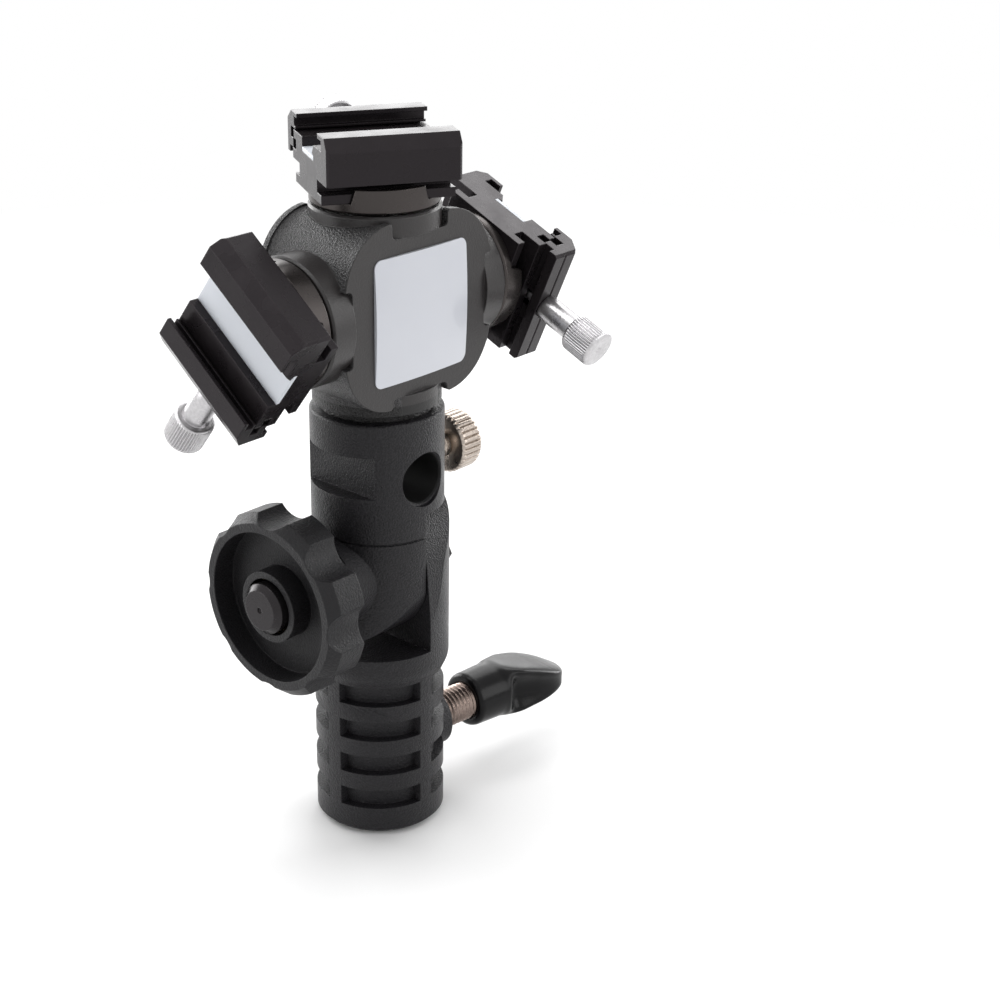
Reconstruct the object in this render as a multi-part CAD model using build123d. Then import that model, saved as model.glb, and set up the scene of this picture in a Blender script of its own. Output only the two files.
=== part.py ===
from build123d import *
import os
from math import cos, radians, sin, sqrt

# A camera flash bracket. A ribbed socket slides over a lighting stand's stud. Above it a
# yoke carries a tilting head, which a scalloped knob locks. The head has a cross hole
# for an umbrella rod and a square hub with three swivelling accessory shoes, on its top
# and its two sides. Each shoe has a fixed jaw and a sliding jaw closed by a thumbscrew.
# Millimetres. +Z is up, the mouth of the stand socket is at the origin, -Y is the front
# of the hub, and the tilt knob is on -X.

os.makedirs("parts", exist_ok=True)

# Clearances shared by the whole part
body_gap = 0.3
run_fit = 0.05
slide_fit = 0.1
cut_over = 2.0
edge_break = 0.5

# Stand socket
barrel_r = 13.0
barrel_h = 33.0
stud_bore_r = 8.1
stud_bore_over = 1.0
barrel_foot_chamfer = 0.7
pocket_row_pitch = 7.7
pocket_first_z = 7.6
pocket_rows = 4
pocket_h = 4.1
pocket_depth = 2.0
pocket_strip_w = 3.2

# Yoke and tilt axis
yoke_step = 1.0
yoke_r = barrel_r + yoke_step
yoke_round = 5.0
ear_foot = 1.0
ledge_h = 6.2
ledge_z = barrel_h + ledge_h
tilt_rise = 15.6
tilt_z = ledge_z + tilt_rise
ear_top_r = 13.2
ear_shoulder_drop = 9.0
bolt_r = 5.0
bolt_end_x = 31.65
bolt_end_chamfer = 1.1
bolt_dimple_r = 0.6
bolt_head_flats = 15.0
bolt_head_h = 4.5
bolt_head_depth = 7.6

# Clamp screw of the stand socket
clamp_z = 15.0
clamp_pad_r = 6.3
clamp_pad_h = 1.3
clamp_pad_x = barrel_r + clamp_pad_h
clamp_stud_r = 4.0
clamp_tip_back = 0.4
clamp_deg = -6.0
clamp_hub_start = 22.8
clamp_hub_end = 34.3
clamp_hub_r = 5.8
clamp_hub_end_r = 6.2
clamp_rim_round = 1.2
clamp_stud_in_hub = 7.5
wing_root_x = 29.6
wing_corner_x = 41.0
wing_end_x = 50.0
wing_root_half_w = 6.1
wing_end_half_w = 6.8
wing_root_half_t = 5.8
wing_mid_top = 3.8
wing_mid_low = 4.8
wing_end_drop = 0.3
wing_end_low = 2.6
wing_neck_r = 6.5
wing_wide_x = 41.7
wing_wide_r = 7.3
wing_dish_x = 33.3
wing_dish_end_x = 45.4
wing_dish_r = 3.6
wing_dish_end_r = 0.9
wing_dish_off = 7.9
wing_deg = -12.5

# Tongue and umbrella cylinder of the tilting head
head_r = 13.0
head_top_round = 0.7
tongue_end_r = 13.4
tongue_boss_r = 8.9
tongue_boss_x = 15.4
seam_rise = 8.7
seam_z = tilt_z + seam_rise
seam_w = 0.5
seam_depth = 0.4
flat_x = 9.5
umbrella_rise = 7.5
umbrella_z = tilt_z + ear_top_r + umbrella_rise
head_over_hole = 12.3
head_top_z = umbrella_z + head_over_hole
flat_below = 2.6
flat_above = 5.8
umbrella_hole_r = 5.0
umbrella_hole_chamfer = 0.48
umbrella_screw_drop = 1.3
umbrella_screw_z = umbrella_z - umbrella_screw_drop
umbrella_screw_r = 2.5
umbrella_tip_back = 0.4
umbrella_head_r = 6.1
umbrella_head_start = 18.2
umbrella_head_end = 24.0
umbrella_stem_in_head = 4.0

# Tilt knob
washer_r = 8.6
washer_t = 1.5
knob_back_x = 21.8
knob_rim_x = 29.8
knob_lobes = 8
knob_first_lobe_deg = 23.5
knob_lobe_r = 18.2
knob_scallop_r = 16.1
knob_lobe_half_deg = 10.0
knob_face_r = 16.5
knob_bevel_w = 2.0
knob_neck_r = 8.6
cup_r = 14.8
cup_floor_x = 25.0
knob_ring_r = 7.0
knob_ring_hole_r = 5.65
knob_ring_x = 29.5
knob_insert_r = 6.2

# Hub
neck_r = 12.4
neck_groove_r = 11.0
neck_groove_h = 1.5
neck_groove_top_z = head_top_z + neck_groove_h
neck_root = 2.0
neck_h = 3.35
hub_low_z = head_top_z + neck_h
hub_h = 35.3
hub_high_z = hub_low_z + hub_h
hub_half_w = 19.3
hub_corner_r = 12.0
hub_half_depth = 11.5
hub_rim_y = 10.0
hub_waist_inset = 0.4
hub_soft_edge = 0.5
boss_r = 12.4
boss_edge = 0.4
side_axis_z = hub_low_z + hub_h / 2
side_boss_root = 1.8
top_boss_root = 3.1
notch_half_w = 7.3
notch_corner_r = 1.0
notch_mouth_r = 0.75
stud_r = 4.0
stud_in_head = 5.2
stud_in_hub = 12.0
label_w = 24.2
label_drop = 0.5
label_z = side_axis_z - label_drop
label_corner_r = 1.6
label_dome_r = 150.0
label_dome_t = 1.1

# Shoes: undersides, the rotating disc and the swivel screw
side_shoe_rise = 5.8
side_shoe_x = hub_half_w + side_shoe_rise
top_shoe_rise = 3.05
top_shoe_z = hub_high_z + top_shoe_rise
disc_r = 12.2
disc_t = 1.9
disc_lug_h = 2.6
lug_low_half_w = 7.2
lug_high_half_w = 6.45
swivel_r = 2.5
swivel_depth = 14.0
swivel_head_r = 3.6
swivel_head_h = 1.9

# Shoe base, drawn across the slot (u, fixed jaw on +u) and up from its underside (v)
shoe_len = 25.0
foot_half_w = 9.3
foot_t = 1.75
shoe_neck_half_w = 6.4
plate_v = 4.1
fixed_face_u = 13.6
fixed_top_v = 12.5
fixed_bevel_u = 2.0
fixed_bevel_v = 2.4
lip_tip_u = 7.1
lip_t = 0.85
foot_root_u = 9.6
ledge_v = 9.8
ridge_u = 4.5
ridge_foot_u = 3.0
ridge_foot_v = 8.1
channel_v = 6.9
channel_half_w = 4.0
undercut_h = 0.9
rail_u = 10.4
rail_top_v = 9.5
slot_low_v = 6.0
slot_high_v = 7.9
slot_root_u = 8.7
lower_plate_u = 11.2
strip_t = 0.8

# Sliding jaw, drawn where it rests, a jaw_open outward of its closed place
jaw_open = 1.75
jaw_wall_u = 12.5
jaw_skirt_u = 13.3
jaw_skirt_v = 4.8
jaw_face_u = 15.4
jaw_tongue_reach = 1.7
jaw_ledge_t = 0.45
jaw_ledge_tip_u = 9.0
jaw_root_u = 10.0
jaw_lip_u = 8.0
jaw_lip_v = 12.0
jaw_top_v = 12.8
jaw_top_u = 12.1
jaw_bevel_u = 14.75
jaw_bevel_v = 11.0
jaw_face_v = 10.5
jaw_groove_w = 0.6
jaw_groove_t = 0.3

# Jaw thumbscrew, parallel to u
screw_v = 7.65
screw_thread_r = 1.25
screw_shank_r = 2.6
screw_tip_u = 7.0
thumb_start_u = 23.6
thumb_end_u = 30.2
thumb_r = 3.95
thumb_dimple_r = 0.8
clip_r = 2.1
clip_t = 0.6
clip_pocket_depth = 1.3

# Directions of the shoes, in degrees
top_shoe_deg = 150.4
right_shoe_deg = 23.3
left_shoe_deg = 52.5


def along_x(sketch, start, end):
    """Extrude a sketch, drawn with Y to its right and Z up, from X start to X end."""
    return extrude(Plane.YZ.offset(start) * sketch, amount=end - start)


def along_y(sketch, start, end):
    """Extrude a sketch, drawn with X to its right and Z up, from Y start to Y end."""
    plane = Plane(origin=(0, end, 0), x_dir=(1, 0, 0), z_dir=(0, -1, 0))
    return extrude(plane * sketch, amount=end - start)


def along_z(sketch, start, end):
    """Extrude a plan sketch from height start to height end."""
    return extrude(Plane.XY.offset(start) * sketch, amount=end - start)


def bar_x(radius, start, end, y=0, z=0):
    """A round bar along X."""
    return along_x(Pos(y, z) * Circle(radius), start, end)


def bar_y(radius, start, end, x=0, z=0):
    """A round bar along Y."""
    return along_y(Pos(x, z) * Circle(radius), start, end)


def bar_z(radius, start, end):
    """A round bar along Z, on the axis of the socket."""
    return along_z(Circle(radius), start, end)


def outline(points):
    """A closed face through the points."""
    return make_face(Polyline(*points, close=True))


def edges_at(shape, axis, place, kind=GeomType.CIRCLE):
    """The edges of one kind whose centre lies at a place along an axis."""
    small = run_fit / 2
    return shape.edges().filter_by(kind).filter_by_position(axis, place - small, place + small)


# Lower body: socket, yoke, clamp screw, tilt bolt and knob
def pocket_rings():
    """The rows of shallow pockets round the barrel, kept off four upright strips."""
    rings = []
    for row in range(pocket_rows):
        low = pocket_first_z + row * pocket_row_pitch - pocket_h / 2
        ring = bar_z(barrel_r + cut_over, low, low + pocket_h)
        rings.append(ring - bar_z(barrel_r - pocket_depth, low, low + pocket_h))
    cut = rings[0] + rings[1:]
    strip_height = Plane.XY.offset(-cut_over)
    reach = 2 * (barrel_r + cut_over)
    for size in ((reach, pocket_strip_w), (pocket_strip_w, reach)):
        cut -= extrude(strip_height * Rectangle(*size), amount=barrel_h + 2 * cut_over)
    return cut


def stand_socket_body():
    """Ribbed barrel with its stud bore, the yoke's ledge and its single ear on +X."""
    barrel = bar_z(barrel_r, 0, barrel_h)
    barrel = chamfer(edges_at(barrel, Axis.Z, 0), barrel_foot_chamfer)
    body = barrel - pocket_rings()
    body += Rot(0, 0, clamp_deg) * bar_x(clamp_pad_r, 0, clamp_pad_x, z=clamp_z)
    curve_in = yoke_round - (yoke_r - barrel_r)
    yoke_low = barrel_h - yoke_round + sqrt(yoke_round**2 - curve_in**2)
    yoke = bar_z(yoke_r, yoke_low, ledge_z)
    yoke = fillet(edges_at(yoke, Axis.Z, yoke_low), yoke_round)
    yoke &= bar_z(yoke_r, barrel_h, ledge_z)
    shoulder_z = tilt_z - ear_shoulder_drop
    shoulder = outline([
        (-yoke_r, ledge_z - ear_foot),
        (yoke_r, ledge_z - ear_foot),
        (yoke_r, shoulder_z),
        (-yoke_r, shoulder_z),
    ])
    ear_outline = make_hull((shoulder + Pos(0, tilt_z) * Circle(ear_top_r)).edges())
    ear = along_x(ear_outline, body_gap / 2, yoke_r)
    ear &= bar_z(yoke_r, 0, tilt_z + yoke_r)
    body = body + yoke + ear
    body -= bar_z(stud_bore_r, 0, barrel_h + stud_bore_over)
    body -= Rot(0, 0, clamp_deg) * bar_x(clamp_stud_r + run_fit, 0, clamp_pad_x, z=clamp_z)
    body -= bar_x(bolt_r + run_fit, 0, yoke_r, z=tilt_z)
    pocket = Pos(0, tilt_z) * RegularPolygon(bolt_head_flats / 2 + run_fit, 6, major_radius=False)
    return body - along_x(pocket, bolt_head_depth - run_fit, yoke_r)


def clamp_stud():
    """Steel screw that presses on the stand's stud, from the bore wall into the handle."""
    tip = stud_bore_r + clamp_tip_back
    stud = bar_x(clamp_stud_r, tip, clamp_hub_start + clamp_stud_in_hub, z=clamp_z)
    return Rot(0, 0, clamp_deg) * chamfer(edges_at(stud, Axis.X, tip), edge_break)


def turned(points):
    """A round body about X, from the points (x, radius) of its outline."""
    ends = [(points[-1][0], 0), (points[0][0], 0)]
    return revolve(outline(points + ends), Axis.X)


def wing_blade():
    """Thumb blade along X: wide in Y, thinning in Z, inside a round envelope."""
    near = wing_root_half_w
    far = wing_end_half_w
    sides = Line((wing_root_x, -near), (wing_corner_x, -far))
    sides += ThreePointArc((wing_corner_x, -far), (wing_end_x, 0), (wing_corner_x, far))
    sides += Polyline((wing_corner_x, far), (wing_root_x, near), (wing_root_x, -near))
    blade = along_z(make_face(sides), -wing_root_half_t, wing_root_half_t)
    middle_x = (wing_root_x + wing_end_x) / 2
    low = (wing_root_x, -wing_root_half_t)
    high = (wing_root_x, wing_root_half_t)
    rims = ThreePointArc(low, (middle_x, -wing_mid_low), (wing_end_x, -wing_end_low))
    rims += ThreePointArc(high, (middle_x, wing_mid_top), (wing_end_x, -wing_end_drop))
    rims += Line(low, high)
    rims += Line((wing_end_x, -wing_end_low), (wing_end_x, -wing_end_drop))
    blade &= along_y(make_face(rims), -far, far)
    return blade & turned([
        (wing_root_x, wing_root_half_w),
        (clamp_hub_end, wing_neck_r),
        (wing_wide_x, wing_wide_r),
        (wing_end_x, wing_wide_r),
    ])


def wing_dish():
    """Hollow that a finger rests in, deepest next to the hub and fading to the end."""
    length = wing_dish_end_x - wing_dish_x
    cone = Cone(wing_dish_r, wing_dish_end_r, length, align=(Align.CENTER, Align.CENTER, Align.MIN))
    return Pos(wing_dish_x, wing_dish_off, 0) * (Rot(0, 90, 0) * cone + Sphere(wing_dish_r))


def clamp_wing():
    """Moulded thumb handle: a flared round hub that runs into a dished blade."""
    hub = turned([(clamp_hub_start, clamp_hub_r), (clamp_hub_end, clamp_hub_end_r)])
    hub = fillet(edges_at(hub, Axis.X, clamp_hub_start), clamp_rim_round)
    handle = hub + wing_blade() - wing_dish() - mirror(wing_dish(), Plane.XZ)
    handle = Pos(0, 0, clamp_z) * Rot(wing_deg, 0, 0) * handle
    socket_end = clamp_hub_start + clamp_stud_in_hub + run_fit
    handle -= bar_x(clamp_stud_r + run_fit, clamp_hub_start, socket_end, z=clamp_z)
    return Rot(0, 0, clamp_deg) * handle


def tilt_bolt():
    """Bolt along the tilt axis, its hex head sunk in the ear, its end in the knob."""
    shank = bar_x(bolt_r, -bolt_end_x, bolt_head_depth, z=tilt_z)
    shank = chamfer(edges_at(shank, Axis.X, -bolt_end_x), bolt_end_chamfer)
    hexagon = Pos(0, tilt_z) * RegularPolygon(bolt_head_flats / 2, 6, major_radius=False)
    bolt = shank + along_x(hexagon, bolt_head_depth, bolt_head_depth + bolt_head_h)
    return bolt - Pos(-bolt_end_x, 0, tilt_z) * Sphere(bolt_dimple_r)


def tilt_washer():
    """Flat washer between the tongue's boss and the knob."""
    washer = bar_x(washer_r, -tongue_boss_x - washer_t, -tongue_boss_x, z=tilt_z)
    return washer - bar_x(bolt_r + run_fit, -knob_back_x, 0, z=tilt_z)


def knob_start_x():
    """Where the knob's neck ends, a body gap off the washer."""
    return tongue_boss_x + washer_t + body_gap


def scallop_sketch():
    """Circle that cuts one hollow between two lobes, worked out from chord and depth."""
    half_deg = 180 / knob_lobes - knob_lobe_half_deg
    half_chord = knob_lobe_r * sin(radians(half_deg))
    depth = knob_lobe_r * cos(radians(half_deg)) - knob_scallop_r
    radius = (half_chord**2 + depth**2) / (2 * depth)
    return Pos(knob_scallop_r + radius, 0) * Circle(radius)


def tilt_knob():
    """Scalloped cup knob with an inner ring round the bolt's end."""
    grip = Circle(knob_lobe_r)
    for lobe in range(knob_lobes):
        middle = knob_first_lobe_deg + (lobe + 1 / 2) * 360 / knob_lobes
        grip -= Rot(0, 0, middle) * scallop_sketch()
    grip = along_x(Pos(0, tilt_z) * grip, -knob_rim_x, -knob_back_x)
    depth = knob_rim_x - knob_back_x
    back_r = knob_face_r + (knob_lobe_r - knob_face_r) * depth / knob_bevel_w
    grip &= Pos(0, 0, tilt_z) * turned([(-knob_rim_x, knob_face_r), (-knob_back_x, back_r)])
    cup = bar_x(cup_r, -knob_rim_x - cut_over, -cup_floor_x, z=tilt_z)
    cup -= bar_x(knob_ring_r, -knob_ring_x, -cup_floor_x, z=tilt_z)
    neck = bar_x(knob_neck_r, -knob_back_x, -knob_start_x(), z=tilt_z)
    knob = grip - cup + neck
    knob -= bar_x(knob_ring_hole_r, -knob_rim_x, -cup_floor_x, z=tilt_z)
    return knob - bar_x(knob_insert_r, -cup_floor_x, 0, z=tilt_z)


def knob_insert():
    """Threaded metal sleeve moulded in the knob, running on the bolt."""
    sleeve = bar_x(knob_insert_r, -cup_floor_x, -knob_start_x(), z=tilt_z)
    return sleeve - bar_x(bolt_r + run_fit, -knob_rim_x, 0, z=tilt_z)


# Tilting head: tongue, umbrella cylinder, hub and label
def umbrella_holder():
    """Cylinder with the umbrella hole, its lower half cut back to a rounded tongue."""
    head = bar_z(head_r, tilt_z - tongue_end_r, head_top_z)
    ear_side_z = tilt_z + ear_top_r + body_gap
    ear_side = Rectangle(2 * head_r, 2 * head_r, align=(Align.MIN, Align.CENTER))
    head -= Pos(-body_gap / 2, 0) * along_z(ear_side, 0, ear_side_z)
    flank = Rectangle(2 * head_r, 2 * tongue_end_r, align=(Align.CENTER, Align.MAX))
    round_end = Pos(0, tilt_z) * (flank - Circle(tongue_end_r))
    head -= along_x(round_end, -head_r, 0)
    head += bar_x(tongue_boss_r, -tongue_boss_x, -body_gap / 2, z=tilt_z)
    seam = bar_z(head_r + cut_over, seam_z - seam_w / 2, seam_z + seam_w / 2)
    seam -= bar_z(head_r - seam_depth, seam_z - seam_w, seam_z + seam_w)
    head -= seam - bar_x(tongue_boss_r, -tongue_boss_x, 0, z=tilt_z)
    flat = Rectangle(head_r, 2 * head_r, align=(Align.MAX, Align.CENTER))
    head -= Pos(-flat_x, 0) * along_z(flat, umbrella_z - flat_below, umbrella_z + flat_above)
    head = fillet(edges_at(head, Axis.Z, head_top_z), head_top_round)
    head -= bar_x(bolt_r + run_fit, -tongue_boss_x, 0, z=tilt_z)
    head -= bar_y(umbrella_hole_r, -head_r, head_r, z=umbrella_z)
    for side in (-1, 1):
        mouth_y = side * sqrt(head_r**2 - umbrella_hole_r**2)
        plane = Plane(origin=(0, mouth_y, umbrella_z), z_dir=(0, -side, 0))
        wide = umbrella_hole_r + umbrella_hole_chamfer
        flare = Cone(wide, umbrella_hole_r, umbrella_hole_chamfer, align=(Align.CENTER,) * 2 + (Align.MIN,))
        head -= plane * flare
        head -= plane * extrude(Circle(wide), amount=-head_r)
    head -= bar_x(umbrella_screw_r + run_fit, 0, head_r, z=umbrella_screw_z)
    return head - bar_z(stud_r, head_top_z - stud_in_head, head_top_z)


def umbrella_stem():
    """Threaded stem that pinches the umbrella's rod, its tip just clear of the hole."""
    tip = umbrella_hole_r + umbrella_tip_back
    stem = bar_x(umbrella_screw_r, tip, umbrella_head_start + umbrella_stem_in_head, z=umbrella_screw_z)
    return chamfer(edges_at(stem, Axis.X, tip), edge_break)


def umbrella_thumb():
    """Knurled round head on the stem, with a running fit as the two move apart."""
    head = bar_x(umbrella_head_r, umbrella_head_start, umbrella_head_end, z=umbrella_screw_z)
    ends = edges_at(head, Axis.X, umbrella_head_end) + edges_at(head, Axis.X, umbrella_head_start)
    head = chamfer(ends, edge_break)
    depth = umbrella_head_start + umbrella_stem_in_head + run_fit
    return head - bar_x(umbrella_screw_r + run_fit, umbrella_head_start, depth, z=umbrella_screw_z)


def hub_outline(inset):
    """The hub's rounded rectangle, seen from the front."""
    width = 2 * (hub_half_w - inset)
    return Pos(0, side_axis_z) * RectangleRounded(width, hub_h - 2 * inset, hub_corner_r - inset)


def notch(width, height, x, z):
    """A rounded notch in a hub plate, centred on the plate's edge."""
    return Pos(x, z) * RectangleRounded(width, height, notch_corner_r)


def plate_outline():
    """The hub's front or back plate, notched round its three bosses and its neck."""
    across = 2 * notch_half_w
    plate = hub_outline(0)
    for x in (-hub_half_w, hub_half_w):
        plate -= notch(2 * side_boss_root, across, x, side_axis_z)
    plate -= notch(across, 2 * top_boss_root, 0, hub_high_z)
    plate -= notch(across, 2 * neck_root, 0, hub_low_z)
    mouths = []
    for corner in plate.vertices():
        on_side = abs(corner.X) > hub_half_w - run_fit
        on_end = not hub_low_z + run_fit < corner.Y < hub_high_z - run_fit
        beside = abs(abs(corner.Y - side_axis_z) - notch_half_w) < run_fit
        above = abs(abs(corner.X) - notch_half_w) < run_fit
        if (on_side and beside) or (on_end and above):
            mouths.append(corner)
    return fillet(mouths, notch_mouth_r)


def boss_end_x():
    """Outer face of a side boss, a body gap under the rotating disc."""
    return side_shoe_x - disc_t - body_gap


def boss_end_z():
    """Top face of the upper boss, a body gap under the rotating disc."""
    return top_shoe_z - disc_t - body_gap


def hub_casting():
    """Square hub on its neck, with three round bosses that stand proud of its plates."""
    hub = along_y(hub_outline(hub_waist_inset), -hub_rim_y, hub_rim_y)
    for start, end in ((-hub_half_depth, -hub_rim_y), (hub_rim_y, hub_half_depth)):
        hub += along_y(plate_outline(), start, end)
    for face in (hub.faces().sort_by(Axis.Y)[0], hub.faces().sort_by(Axis.Y)[-1]):
        hub = fillet(face.edges(), hub_soft_edge)
    side_boss = bar_x(boss_r, -boss_end_x(), -hub_half_w + side_boss_root, z=side_axis_z)
    side_boss = chamfer(edges_at(side_boss, Axis.X, -boss_end_x()), boss_edge)
    top_boss = bar_z(boss_r, hub_high_z - top_boss_root, boss_end_z())
    top_boss = chamfer(edges_at(top_boss, Axis.Z, boss_end_z()), boss_edge)
    neck = bar_z(neck_r, neck_groove_top_z, hub_low_z + neck_root)
    neck += bar_z(neck_groove_r, head_top_z, neck_groove_top_z)
    hub = hub + side_boss + mirror(side_boss, Plane.YZ) + top_boss + neck
    reach = boss_end_x()
    for side in (-1, 1):
        ends = sorted((side * (reach - swivel_depth), side * reach))
        hub -= bar_x(swivel_r + run_fit, *ends, z=side_axis_z)
    hub -= bar_z(swivel_r + run_fit, boss_end_z() - swivel_depth, boss_end_z())
    return hub - bar_z(stud_r, head_top_z, head_top_z + stud_in_hub)


def hub_stud():
    """Threaded stud that fastens the hub on the umbrella cylinder."""
    return bar_z(stud_r, head_top_z - stud_in_head, head_top_z + stud_in_hub)


def front_label():
    """Bare square plate with a shallow domed face, on the front of the hub."""
    square = Pos(0, label_z) * RectangleRounded(label_w, label_w, label_corner_r)
    plate = along_y(square, -hub_half_depth - label_dome_t, -hub_half_depth)
    dome_y = -hub_half_depth - label_dome_t + label_dome_r
    return plate & Pos(0, dome_y, label_z) * Sphere(label_dome_r)


# Shoes, drawn with X along the slot, Y across it (u) and Z up from the underside (v)
def swivel_disc():
    """Rotating disc with two low lugs that hold the shoe's foot by its sides."""
    lug_u = foot_half_w + body_gap
    disc = extrude(Plane.XY.offset(-disc_t) * Circle(disc_r), amount=disc_t)
    disc = chamfer(edges_at(disc, Axis.Z, -disc_t), boss_edge)
    lugs = Circle(disc_r) - Rectangle(2 * disc_r, 2 * lug_u)
    taper = outline([
        (-lug_low_half_w, 0),
        (lug_low_half_w, 0),
        (lug_high_half_w, disc_lug_h),
        (-lug_high_half_w, disc_lug_h),
    ])
    disc += extrude(lugs, amount=disc_lug_h) & along_y(taper, -disc_r, disc_r)
    return disc - extrude(Plane.XY.offset(-disc_t) * Circle(swivel_r), amount=disc_t)


def swivel_head_v():
    """Underside of the swivel screw's head, sunk under the channel's floor."""
    return channel_v - swivel_head_h - slide_fit


def swivel_screw():
    """Screw that the shoe turns on, from the channel's floor down into the hub's boss."""
    low = -disc_t - body_gap - swivel_depth + edge_break
    shank = extrude(Plane.XY.offset(low) * Circle(swivel_r), amount=swivel_head_v() - low)
    head = extrude(Plane.XY.offset(swivel_head_v()) * Circle(swivel_head_r), amount=swivel_head_h)
    return shank + head


def shoe_profile():
    """The shoe base across its slot: foot, neck, fixed jaw, channel, rail and plate."""
    lip_low_v = fixed_top_v - lip_t
    return outline([
        (-foot_half_w, 0),
        (foot_half_w, 0),
        (foot_half_w, foot_t),
        (shoe_neck_half_w, foot_t),
        (shoe_neck_half_w, plate_v),
        (fixed_face_u, plate_v),
        (fixed_face_u, fixed_top_v - fixed_bevel_v),
        (fixed_face_u - fixed_bevel_u, fixed_top_v),
        (lip_tip_u, fixed_top_v),
        (lip_tip_u, lip_low_v),
        (foot_root_u, lip_low_v),
        (foot_root_u, ledge_v),
        (ridge_u, ledge_v),
        (ridge_foot_u, ridge_foot_v),
        (channel_half_w, channel_v + undercut_h),
        (channel_half_w, channel_v),
        (-channel_half_w, channel_v),
        (-channel_half_w, rail_top_v),
        (-rail_u, rail_top_v),
        (-rail_u, slot_high_v),
        (-slot_root_u, slot_high_v),
        (-slot_root_u, slot_low_v),
        (-lower_plate_u, slot_low_v),
        (-lower_plate_u, plate_v),
        (-shoe_neck_half_w, plate_v),
        (-shoe_neck_half_w, foot_t),
        (-foot_half_w, foot_t),
    ])


def across_bar(radius, start_u, end_u):
    """A round bar across the slot on the thumbscrew's axis, from one u to another."""
    return bar_y(radius, start_u, end_u, z=screw_v)


def shoe_base():
    """Extruded shoe base, drilled for the swivel screw and tapped for the thumbscrew."""
    base = along_x(shoe_profile(), -shoe_len / 2, shoe_len / 2)
    base = chamfer(base.edges().filter_by(Axis.Z).sort_by(Axis.Y)[-2:], edge_break)
    base -= extrude(Circle(swivel_r), amount=channel_v)
    head_hole = Plane.XY.offset(swivel_head_v()) * Circle(swivel_head_r)
    base -= extrude(head_hole, amount=channel_v - swivel_head_v())
    hole_end = screw_tip_u - jaw_open - body_gap
    return base - across_bar(screw_thread_r + run_fit, -lower_plate_u, -hole_end)


def slot_strip():
    """Thin insulating strip on the channel's floor, its edge under the ridge."""
    strip = Rectangle(2 * channel_half_w, strip_t, align=(Align.CENTER, Align.MIN))
    return along_x(Pos(0, channel_v) * strip, -shoe_len / 2, shoe_len / 2)


def jaw_profile():
    """The sliding jaw across the slot: tongue, inner wall, ledge, groove, lip and skirt."""
    tongue_low = slot_low_v + slide_fit
    tongue_high = slot_high_v - slide_fit
    ledge_low = rail_top_v + body_gap
    return outline([
        (-jaw_wall_u + jaw_tongue_reach, tongue_low),
        (-jaw_wall_u + jaw_tongue_reach, tongue_high),
        (-jaw_wall_u, tongue_high),
        (-jaw_wall_u, ledge_low),
        (-jaw_ledge_tip_u, ledge_low),
        (-jaw_ledge_tip_u, ledge_low + jaw_ledge_t),
        (-jaw_root_u, ledge_low + jaw_ledge_t),
        (-jaw_root_u, jaw_lip_v),
        (-jaw_lip_u, jaw_lip_v),
        (-jaw_lip_u, jaw_top_v),
        (-jaw_top_u, jaw_top_v),
        (-jaw_bevel_u, jaw_bevel_v),
        (-jaw_face_u, jaw_face_v),
        (-jaw_face_u, screw_v + jaw_groove_w / 2),
        (-jaw_face_u + jaw_groove_t, screw_v),
        (-jaw_face_u, screw_v - jaw_groove_w / 2),
        (-jaw_face_u, jaw_skirt_v),
        (-jaw_skirt_u, jaw_skirt_v),
        (-jaw_skirt_u, tongue_low),
    ])


def sliding_jaw():
    """Jaw whose tongue slides in the base's slot; the thumbscrew passes through it."""
    jaw = along_x(jaw_profile(), -shoe_len / 2, shoe_len / 2)
    jaw = chamfer(jaw.edges().filter_by(Axis.Z).sort_by(Axis.Y)[:2], edge_break)
    jaw -= across_bar(screw_thread_r + run_fit, -jaw_face_u, -slot_root_u)
    pocket_u = jaw_wall_u + clip_pocket_depth
    return jaw - across_bar(clip_r + slide_fit, -pocket_u, -jaw_wall_u + jaw_tongue_reach)


def jaw_screw():
    """Thumbscrew with a shoulder that pushes the jaw, a thin thread and a round head."""
    thread = across_bar(screw_thread_r, -jaw_face_u, -screw_tip_u)
    thread = chamfer(edges_at(thread, Axis.Y, -screw_tip_u), edge_break)
    shank = across_bar(screw_shank_r, -thumb_start_u, -jaw_face_u - run_fit)
    neck = across_bar(screw_thread_r, -jaw_face_u - run_fit, -jaw_face_u)
    head = across_bar(thumb_r, -thumb_end_u, -thumb_start_u)
    ends = edges_at(head, Axis.Y, -thumb_end_u) + edges_at(head, Axis.Y, -thumb_start_u)
    screw = thread + neck + shank + chamfer(ends, edge_break)
    return screw - Pos(0, -thumb_end_u, screw_v) * Sphere(thumb_dimple_r)


def jaw_clip():
    """Retaining ring in the jaw's pocket that draws the jaw back with the screw."""
    start = -jaw_wall_u - clip_pocket_depth + run_fit
    clip = across_bar(clip_r, start, start + clip_t)
    return clip - across_bar(screw_thread_r, -jaw_face_u, 0)


def shoe_planes():
    """Where each shoe sits: its underside, the way its slot runs and the way it faces."""
    places = {}
    turn = radians(top_shoe_deg)
    places["top"] = Plane((0, 0, top_shoe_z), x_dir=(cos(turn), sin(turn), 0), z_dir=(0, 0, 1))
    turn = radians(right_shoe_deg)
    slot = (0, sin(turn), -cos(turn))
    places["right"] = Plane((side_shoe_x, 0, side_axis_z), x_dir=slot, z_dir=(1, 0, 0))
    turn = radians(left_shoe_deg)
    slot = (0, -sin(turn), -cos(turn))
    places["left"] = Plane((-side_shoe_x, 0, side_axis_z), x_dir=slot, z_dir=(-1, 0, 0))
    return places


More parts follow.
